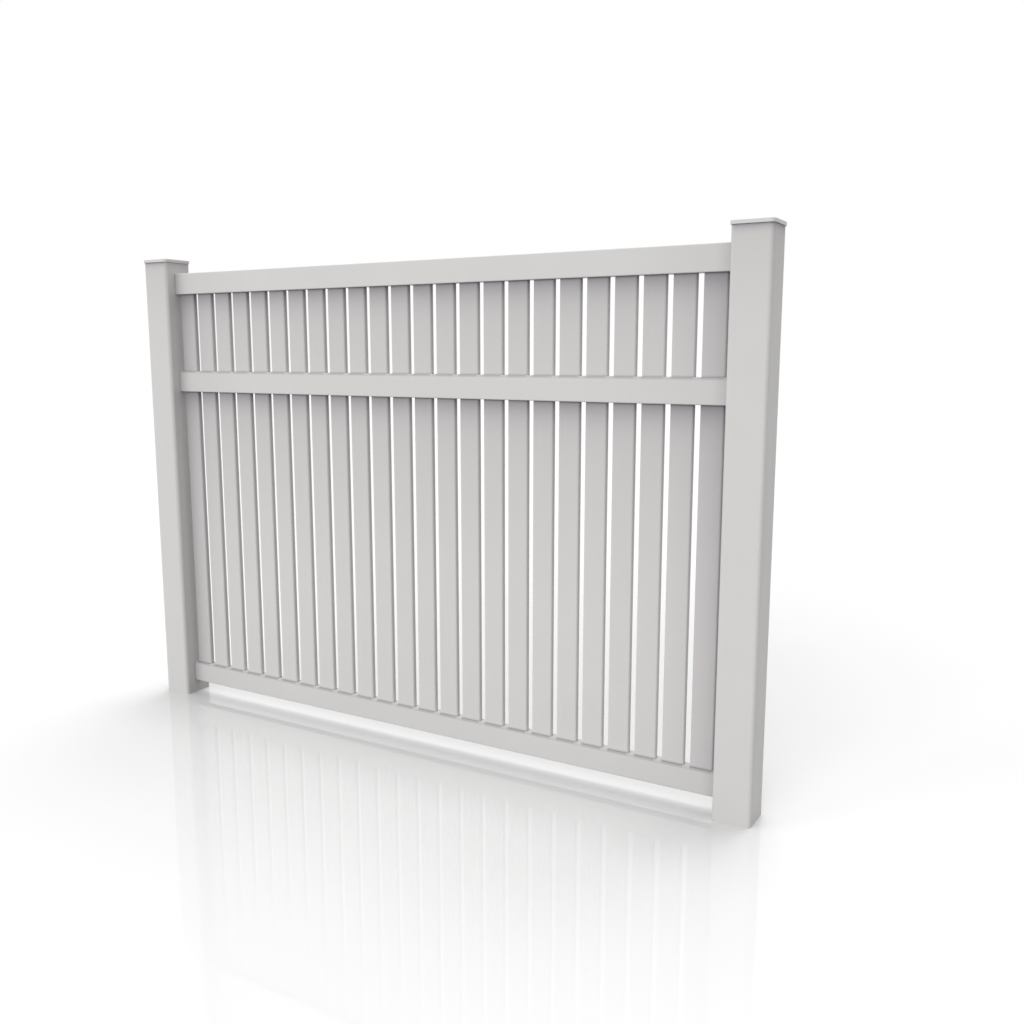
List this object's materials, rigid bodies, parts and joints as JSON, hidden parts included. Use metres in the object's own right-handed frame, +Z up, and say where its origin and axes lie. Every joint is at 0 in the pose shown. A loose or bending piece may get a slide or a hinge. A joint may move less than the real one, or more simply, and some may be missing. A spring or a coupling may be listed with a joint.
{
  "type": "semi-privacy fence panel",
  "caption": "White vinyl fence panel: square capped posts joined by low, middle and high rails, with flat round-edged pickets standing through the rails and narrow gaps between them.",
  "frame": {"origin": "middle of the left post's foot, at ground level", "axes": "+X along the fence from the left post to the right one, +Y to the back, +Z up"},
  "size_m": [2.6009, 0.134, 1.832],
  "materials": {
    "white_vinyl": "smooth satin extruded vinyl"
  },
  "bodies": {
    "root": {"left_post": "white_vinyl", "right_post": "white_vinyl", "left_post_cap": "white_vinyl", "right_post_cap": "white_vinyl", "bottom_rail": "white_vinyl", "mid_rail": "white_vinyl", "top_rail": "white_vinyl", "picket_01": "white_vinyl", "picket_02": "white_vinyl", "picket_03": "white_vinyl", "picket_04": "white_vinyl", "picket_05": "white_vinyl", "picket_06": "white_vinyl", "picket_07": "white_vinyl", "picket_08": "white_vinyl", "picket_09": "white_vinyl", "picket_10": "white_vinyl", "picket_11": "white_vinyl", "picket_12": "white_vinyl", "picket_13": "white_vinyl", "picket_14": "white_vinyl", "picket_15": "white_vinyl", "picket_16": "white_vinyl", "picket_17": "white_vinyl", "picket_18": "white_vinyl", "picket_19": "white_vinyl", "picket_20": "white_vinyl", "picket_21": "white_vinyl", "picket_22": "white_vinyl", "picket_23": "white_vinyl", "picket_24": "white_vinyl"}
  },
  "joints": []
}
